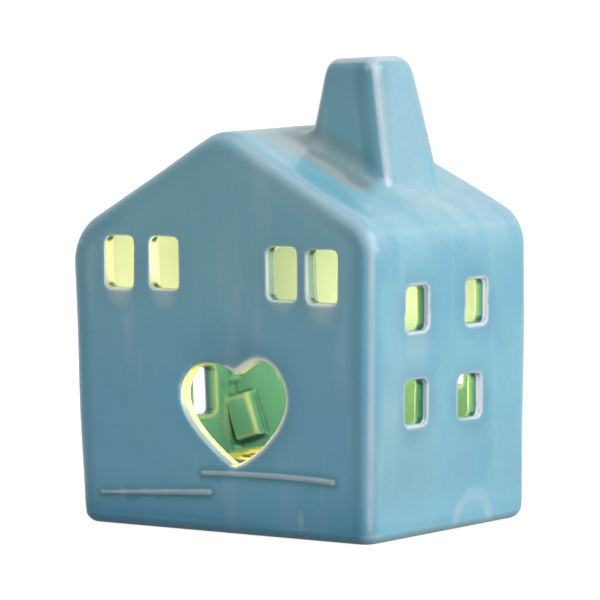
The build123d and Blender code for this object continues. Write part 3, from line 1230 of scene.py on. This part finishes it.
    def depths(self, points: np.ndarray) -> Depths:
        """Measures how points lie under the outside of the body or the chimney.

        Args:
            points: The points.

        Returns:
            The depths, and the shares by which the glaze breaks over an edge or pools with painted
            shade beside one.
        """
        across, along, up = points.T
        gable = [
            (-self.base_width / 2, 0.0),
            (-self.eave_width / 2, self.left_eave_height),
            (self.ridge_shift, self.ridge_height),
            (self.eave_width / 2, self.right_eave_height),
            (self.base_width / 2, 0.0),
        ]
        sides = [line_depth(*ends, across, up) for ends in zip(gable, gable[1:])]
        outline = rounded_depth(gable, self.outline_rounds, sides)
        front = along - self.front
        ends = np.minimum(front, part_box(self.node)[1].y / MM - along)
        body = joined_depth(self.corner_round, outline, ends)
        foot = (body + up - self.foot_chamfer) / math.sqrt(2.0)
        chord = np.maximum(self.foot_chamfer**2 - (body - up) ** 2 / 2.0, 0.0)
        bulge = np.maximum(np.sqrt(chord) - self.foot_chamfer / math.sqrt(2.0), 0.0)
        bulge = bulge * ramp(np.abs(foot), *self.chamfer_face)
        body = np.where(body < self.chamfer_reach, np.minimum(body, foot), body)

        rake = self.left_eave_height - self.rake_start
        at_rake = self.rake_loss * ramp(up, rake, self.rake_reach)
        corners = ramp(np.minimum(outline, ends), *self.corner_line) * ramp(up, *self.above_foot)
        corners = corners * (self.corner_share - at_rake)
        eaves = self.eave_share * ramp(np.minimum.reduce(sides) - outline, *self.eave_line)
        # Pooled glaze and painted shade beside the near corner and rakes
        beside = band(outline, *self.rake_pool_and_shade) * ramp(front, *self.at_front)
        at_rake = self.rake_pool_and_shade_loss * ramp(up, self.left_eave_height, self.rake_pool_and_shade_reach)
        beside = beside * (self.rake_pool_and_shade_share - at_rake)

        stack, stack_line, stack_pool_and_shade = self.stack(points)
        on_stack = stack > body
        return Depths(
            surface=np.maximum(body, stack),
            chimney=stack,
            bulge=bulge,
            edge_line=np.where(on_stack, stack_line, np.maximum(corners, eaves)),
            pooled=np.where(on_stack, stack_pool_and_shade, beside),
        )

    def shape_by_hand(self, shell: bpy.types.Object, under: Depths) -> None:
        """Draws the two ground lines and gives the clay the slight waves and sags of hand work.

        Args:
            shell: The softened shell.
            under: What lies under each of its vertices.
        """
        mesh = shell.data
        points = self.points(mesh)
        _, along, up = points.T
        waves = sum(wave.swell(points) for wave in self.waves)
        swell = self.waviness * waves * ramp(up, *self.clear_of_base) + under.bulge
        moved = points + self.rows(mesh, "normal") * swell[:, None]
        raised = self.lined(points) * ramp(along, self.front + self.drawn_behind, -0.8)
        moved[:, 1] -= raised * self.line_height
        moved = self.sagged(moved, ramp(under.chimney, -5.0, 5.0))
        mesh.vertices.foreach_set("co", (moved * MM).astype(np.float32).ravel())
        mesh.update()

    def sagged(self, points: np.ndarray, on_chimney: np.ndarray) -> np.ndarray:
        """Lets the form sag where the photograph shows it off the drawn one.

        Args:
            points: The points.
            on_chimney: The share by which each belongs to the chimney.

        Returns:
            The moved points.
        """
        across, along, up = points.T
        moved = points.copy()
        ridge = bell(across, self.ridge_shift, self.ridge_spread) * along / self.half_depth
        dip = bell(across, self.dip_place, self.dip_spread) * ramp(along, *self.dip_start)
        roof = band(up, self.roof_rise, self.ridge_height + 2.0, 6.0, 3.0)
        moved[:, 2] += roof * (self.ridge_tilt * ridge - self.rear_dip * dip)
        block = np.prod([band(row, *reach) for row, reach in zip(points.T, self.block)], axis=0)
        moved[:, 0] -= block * (self.block_shift + climb(up, *self.block_lean))
        moved[:, 2] -= block * self.block_shift
        foot = climb(up, self.tuck_reach, -self.tuck_reach) ** 2
        moved[:, :2] *= 1.0 - self.foot_tuck * foot[:, None]
        top = climb(up, self.chimney_height - self.tuck_reach, self.tuck_reach) ** 2
        axis = (self.chimney_across.top, self.chimney_along.top)
        moved[:, :2] -= self.top_tuck * top[:, None] * (moved[:, :2] - axis)
        turn = self.chimney_twist * on_chimney * climb(up, self.chimney_height, -self.twist_reach)
        arm = moved[:, :2] - (self.chimney_across.foot, self.chimney_along.foot)
        moved[:, 0] -= turn * arm[:, 1]
        moved[:, 1] += turn * arm[:, 0]
        return moved

    def mark_surface(self, shell: bpy.types.Object, under: Depths) -> None:
        """Stores where the glaze breaks over edges, pools in hollows, pools with painted shade
        beside edges, and turns inwards.

        Args:
            shell: The shaped shell.
            under: What lies under each of its vertices.
        """
        mesh = shell.data
        points = self.points(mesh)
        across, along, up = points.T
        blur = SurfaceBlur(mesh, self.spacing)
        normals = self.rows(mesh, "normal")
        near = np.einsum("ij,ij->i", points - blur.places(points, self.edge_reach), normals)
        outer = ramp(under.surface, *self.skin)
        on_front = ramp(along, self.front + 1.5, -1.0) * outer
        on_heart = on_front * band(up, *self.heart_height) * ramp(across, *self.heart_right)
        loss = self.front_loss * (on_front - self.heart_gain * on_heart)
        rims = ramp(near, self.rim_start + loss, self.rim_slant)
        rims = rims * (1.0 - self.lined(points) * on_front)
        rims = rims * (1.0 - self.foot_loss * outer * ramp(up, *self.foot_rims))
        halo = blur.column(rims * outer, self.halo_reach) * self.halo_gain
        halo = np.clip(halo, 0.0, self.halo_most) * (1.0 - rims)
        beside = self.rim_blur_share * blur.column(rims, self.rim_blur)
        for mark, values in (
            (Mark.EDGE, np.maximum(rims, beside)),
            (Mark.LINE, under.edge_line * outer),
            (Mark.HOLLOW, ramp(near, *self.hollow)),
            (Mark.HALO, np.maximum(halo, under.pooled * outer)),
            (Mark.DEPTH, under.surface),
        ):
            attribute = mesh.attributes.new(mark.value, "FLOAT", "POINT")
            attribute.data.foreach_set("value", values.astype(np.float32))

    def build(self) -> bpy.types.Object:
        """Builds the shell.

        Returns:
            The finished shell.
        """
        dense = self.soft_copy()
        under = self.depths(self.points(dense.data))
        self.shape_by_hand(dense, under)
        self.mark_surface(dense, under)
        dense.data.calc_loop_triangles()
        count = len(dense.data.loop_triangles)
        thin = dense.modifiers.new("thin", "DECIMATE")
        thin.ratio = min(1.0, self.most_triangles / count)
        shell = self.applied(dense, "house_glazed")
        shell.data.shade_smooth()
        log.info("shell: %d triangles, thinned from %d", len(shell.data.polygons), count)
        return shell

    def dress(self, shell: bpy.types.Object) -> None:
        """Glazes the shell and puts it in the place of its CAD node.

        Args:
            shell: The finished shell.
        """
        shell.data.materials.append(self.glaze.make())
        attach(shell, Body.HOUSE.value)
        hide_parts(self.node)


@dataclass
class Tealight:
    """The candle: a drawn cup, wax, and a wick on its tab. Lengths are millimetres."""

    cup_radius: float = 18.5
    cup_height: float = 16.0
    cup_wall: float = 0.3
    rim_radius: float = 19.0
    rim_height: float = 0.6
    rim_angles: tuple[int, ...] = (-80, -45, -10, 25, 60, 90)
    flutes: int = 60
    flute_depth: float = 0.12
    flute_ends: Span = (0.8, 14.8)
    wax_radius: float = 18.0
    wax_height: float = 15.3
    wax_gap: float = 0.05
    pool_radius: float = 13.0
    pool_depth: float = 0.35
    meniscus: float = 0.35
    tab_radius: float = 6.2
    tab_height: float = 0.45
    neck_height: float = 3.6
    wick_radius: float = 0.8
    wick_sides: int = 16
    wick_straight: float = 15.5
    straight_steps: int = 24
    bend_radius: float = 4.0
    bend: float = 35.0
    bend_steps: int = 10
    steps: int = 120

    def lathed(self, name: str, profile: list[Point2]) -> bpy.types.Object:
        """Spins a closed profile round the upright axis.

        Args:
            name: The piece's name.
            profile: Its corners as radius and height.

        Returns:
            The piece.
        """
        turned = bmesh.new()
        corners = [turned.verts.new((radius * MM, 0.0, height * MM)) for radius, height in profile]
        edges = [turned.edges.new(pair) for pair in zip(corners, corners[1:])]
        bmesh.ops.spin(
            turned,
            geom=corners + edges,
            cent=(0.0, 0.0, 0.0),
            axis=(0.0, 0.0, 1.0),
            angle=math.tau,
            steps=self.steps,
            use_merge=True,
        )
        bmesh.ops.remove_doubles(turned, verts=turned.verts, dist=TOUCHING)
        bmesh.ops.recalc_face_normals(turned, faces=turned.faces)
        return finished(name, turned)

    def cup(self) -> bpy.types.Object:
        """Builds the cup: a floor, a fluted wall and a rolled rim.

        Returns:
            The cup.
        """
        outer, inner = self.cup_radius, self.cup_radius - self.cup_wall
        top, floor = self.cup_height, self.cup_wall
        roll, half_rim = (self.rim_radius - outer) / 2, self.rim_height / 2
        profile = [(0.0, 0.0), (outer - 1.0, 0.0), (outer - 0.3, 0.1), (outer, 0.5)]
        profile += [(outer, height) for height in (3.0, 6.0, 10.0, top - self.rim_height)]
        for turn in map(math.radians, self.rim_angles):
            height = top - half_rim + half_rim * math.sin(turn)
            profile.append((outer + roll + roll * math.cos(turn), height))
        profile += [(outer, top)]
        profile += [(inner, height) for height in (top - 0.05, 10.0, 5.0, floor)]
        cup = self.lathed("tealight_cup_drawn", [*profile, (0.0, floor)])
        low, high = self.flute_ends
        for vertex in cup.data.vertices:
            radius = math.hypot(vertex.co.x, vertex.co.y)
            if radius > (inner - 0.1) * MM and low < vertex.co.z / MM < high:
                turn = self.flutes * math.atan2(vertex.co.y, vertex.co.x)
                dent = 0.5 * (1.0 - math.cos(turn)) * self.flute_depth * MM
                vertex.co.xy *= (radius - dent) / radius
        return cup

    def wax(self) -> bpy.types.Object:
        """Builds the wax: it climbs the wall of the cup and dips round the wick.

        Returns:
            The wax.
        """
        surface, low = self.wax_height, self.cup_wall
        pool, radius = self.pool_radius, self.wax_radius
        sunk = surface - self.pool_depth
        core = self.wick_radius + self.wax_gap
        tab_top = low + self.tab_height
        profile = [(core, self.neck_height), (core, sunk + 0.25), (core + 0.5, sunk), (5.0, sunk)]
        profile += [(pool - 1.5, surface - self.pool_depth * 0.9)]
        profile += [(pool, surface - self.pool_depth * 0.3), (pool + 1.2, surface)]
        profile += [(radius - 1.2, surface), (radius - 0.5, surface + self.meniscus * 0.3)]
        profile += [(radius, surface + self.meniscus), (radius, low + 1.0), (radius, low)]
        profile += [(self.tab_radius, low), (self.tab_radius, tab_top), (core, tab_top)]
        return self.lathed("candle_wax_poured", [*profile, profile[0]])

    def wick(self) -> bpy.types.Object:
        """Builds the wick: a braided round that bends over at its tip.

        Returns:
            The wick.
        """
        braid = bmesh.new()
        radius, sides = self.wick_radius * MM, self.wick_sides
        ring = bmesh.ops.create_circle(braid, cap_ends=True, segments=sides, radius=radius)
        bmesh.ops.translate(braid, verts=ring["verts"], vec=(0.0, 0.0, self.cup_wall * MM))
        rise = (0.0, 0.0, (self.wick_straight - self.cup_wall) / self.straight_steps * MM)
        turn = Matrix.Rotation(math.radians(self.bend) / self.bend_steps, 3, "Y")
        centre = (self.bend_radius * MM, 0.0, self.wick_straight * MM)
        face = braid.faces[:]
        for step in range(self.straight_steps + self.bend_steps):
            out = bmesh.ops.extrude_face_region(braid, geom=face)["geom"]
            moved = [item for item in out if isinstance(item, bmesh.types.BMVert)]
            caps = [item for item in out if isinstance(item, bmesh.types.BMFace)]
            if step < self.straight_steps:
                bmesh.ops.translate(braid, verts=moved, vec=rise)
            else:
                bmesh.ops.rotate(braid, verts=moved, cent=centre, matrix=turn)
            inner = [item for item in face if item.is_valid and step]
            bmesh.ops.delete(braid, geom=inner, context="FACES_ONLY")
            face = caps
        bmesh.ops.recalc_face_normals(braid, faces=braid.faces)
        return finished("wick_braided", braid)

    def dress(self, piece: bpy.types.Object, finish: object, slot: str, node: str) -> None:
        """Gives a piece of the candle its finish and puts it in the place of its CAD node.

        Args:
            piece: The piece.
            finish: Its finish, which has a make method.
            slot: The name of a material slot; not used.
            node: The CAD node that it stands for.
        """
        piece.data.materials.append(finish.make())
        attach(piece, Body.CANDLE.value)
        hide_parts(node)


@dataclass
class Studio:
    """The pale floor, the soft lights and the camera. Lengths are metres.

    The floor's two reaches are millimetres, as its recipe takes them.
    """

    azimuth: float = 38.16
    elevation: float = 4.09
    roll: float = -0.973
    distance: float = 0.903
    aim: Point3 = (0.00004, 0.00026, 0.05267)
    lens: float = 226.86
    sensor: float = 36.0
    floor_size: float = 6.0
    floor_drop: float = 0.05 * MM
    floor_colour: Colour = (0.42, 0.42, 0.42)
    floor_glow: float = 0.88
    glow_reach: Span = (100.0, 400.0)
    # Painted contact shadow: the floor's glow seen in mirrors is dimmed near the house
    mirrored_glow: float = 0.25
    mirrored_reach: Span = (50.0, 130.0)
    sky: float = 0.4
    key_place: Point3 = (0.95, -0.12, 0.62)
    key_size: float = 1.0
    key_power: float = 11.1
    flame_place: Point3 = (0.006, -0.014, 0.044)
    flame_radius: float = 9 * MM
    flame_power: float = 0.15
    flame_colour: Colour = (1.0, 0.86, 0.50)

    def camera(self) -> None:
        """Sets the camera where the photograph was taken from."""
        turn, rise = math.radians(self.azimuth), math.radians(self.elevation)
        level = math.cos(rise)
        back = Vector((math.sin(turn) * level, -math.cos(turn) * level, math.sin(rise)))
        upright = (-back).to_track_quat("-Z", "Y").to_matrix()
        rolled = upright @ Matrix.Rotation(math.radians(self.roll), 3, "Z")
        data = bpy.data.cameras.new("photo_camera")
        data.lens = self.lens
        data.sensor_width = self.sensor
        data.clip_start = 0.01
        camera = placed("photo_camera", data)
        stand = Matrix.Translation(Vector(self.aim) + back * self.distance)
        camera.matrix_world = stand @ rolled.to_4x4()
        bpy.context.scene.camera = camera

    def floor(self) -> None:
        """Lays the floor: white to the eye, but it keeps the object's shadow."""
        sheet = bmesh.new()
        bmesh.ops.create_grid(sheet, x_segments=1, y_segments=1, size=self.floor_size / 2)
        bmesh.ops.translate(sheet, verts=sheet.verts, vec=(0.0, 0.0, -self.floor_drop))
        floor = finished("studio_floor", sheet)
        recipe = Recipe("studio_floor")
        recipe.set(Base_Color=self.floor_colour, Roughness=0.9, Specular_IOR_Level=0.0)
        away = recipe.away((0.0, 0.0, 0.0))
        # Painted contact shadow in mirrors near the house
        mirrored = recipe.span(away, *self.mirrored_reach, self.mirrored_glow, 1.0)
        glow = recipe.add("ShaderNodeEmission")
        recipe.feed(glow.inputs["Color"], WHITE)
        pale = recipe.span(away, *self.glow_reach, self.floor_glow, 1.0)
        recipe.feed(glow.inputs["Strength"], recipe.product(recipe.shown(mirrored), pale))
        both = recipe.add("ShaderNodeAddShader")
        recipe.feed(both.inputs[0], recipe.shader.outputs["BSDF"])
        recipe.feed(both.inputs[1], glow.outputs["Emission"])
        surface = recipe.tree.nodes["Material Output"].inputs["Surface"]
        recipe.feed(surface, both.outputs["Shader"])
        floor.data.materials.append(recipe.material)

    def sky_light(self) -> None:
        """Makes the world a soft pale light that is white to the eye."""
        world = bpy.data.worlds.new("studio_sky")
        world.use_nodes = True
        bpy.context.scene.world = world
        nodes = Nodes(world.node_tree)
        strength = nodes.add("ShaderNodeMapRange")
        nodes.feed(strength.inputs["Value"], nodes.shown())
        nodes.feed(strength.inputs["To Min"], self.sky)
        nodes.feed(strength.inputs["To Max"], 1.0)
        background = nodes.tree.nodes["Background"]
        nodes.feed(background.inputs["Strength"], strength.outputs["Result"])
        nodes.feed(background.inputs["Color"], WHITE)

    def lamp(
        self, name: str, kind: str, place: Point3, power: float, colour: Colour
    ) -> bpy.types.Object:
        """Hangs a lamp that the camera doesn't see.

        Args:
            name: The lamp's name.
            kind: The light's type.
            place: Where it hangs.
            power: Its power in watts.
            colour: Its colour.

        Returns:
            The lamp.
        """
        data = bpy.data.lights.new(name, kind)
        data.energy = power
        data.color = colour
        lamp = placed(name, data)
        lamp.location = place
        lamp.visible_camera = False
        return lamp

    def key_light(self) -> None:
        """Hangs the soft square light that looks at the house."""
        lamp = self.lamp("key_light", "AREA", self.key_place, self.key_power, WHITE)
        lamp.data.size = self.key_size
        lamp.rotation_mode = "QUATERNION"
        towards = Vector(self.aim) - Vector(self.key_place)
        lamp.rotation_quaternion = towards.to_track_quat("-Z", "Y")

    def flame_light(self) -> None:
        """Lights the room inside as the candle's flame does."""
        lamp = self.lamp(
            "flame_light", "POINT", self.flame_place, self.flame_power, self.flame_colour
        )
        lamp.data.shadow_soft_size = self.flame_radius
        lamp.visible_glossy = False

    def build(self) -> None:
        """Sets up the whole studio."""
        self.camera()
        self.floor()
        self.sky_light()
        self.key_light()
        self.flame_light()


def main() -> None:
    logging.basicConfig(level=logging.INFO, format="%(message)s")
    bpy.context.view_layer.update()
    scene = bpy.context.scene
    scene.view_settings.view_transform = "Standard"

    Studio().build()
    log.info("studio: floor, sky, lights and camera")

    house = CeramicHouse()
    shell = house.build()
    house.dress(shell)
    log.info("%s glazed", shell.name)

    candle = Tealight()
    for piece, finish, slot, node in (
        (candle.cup(), DRAWN_ALUMINIUM, "cup_aluminium", "tealight_cup"),
        (candle.wax(), CandleWax(), "candle_wax", "wax"),
        (candle.wick(), BurntCotton(), "wick_cotton", "wick"),
    ):
        candle.dress(piece, finish, slot, node)
        log.info("%s: %d faces", piece.name, len(piece.data.polygons))
    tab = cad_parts["wick_tab"]
    tab.data.materials.clear()
    tab.data.materials.append(STAMPED_TIN.make())
    log.info("%s: finished in tin", tab.name)


if __name__ == "__main__":
    main()
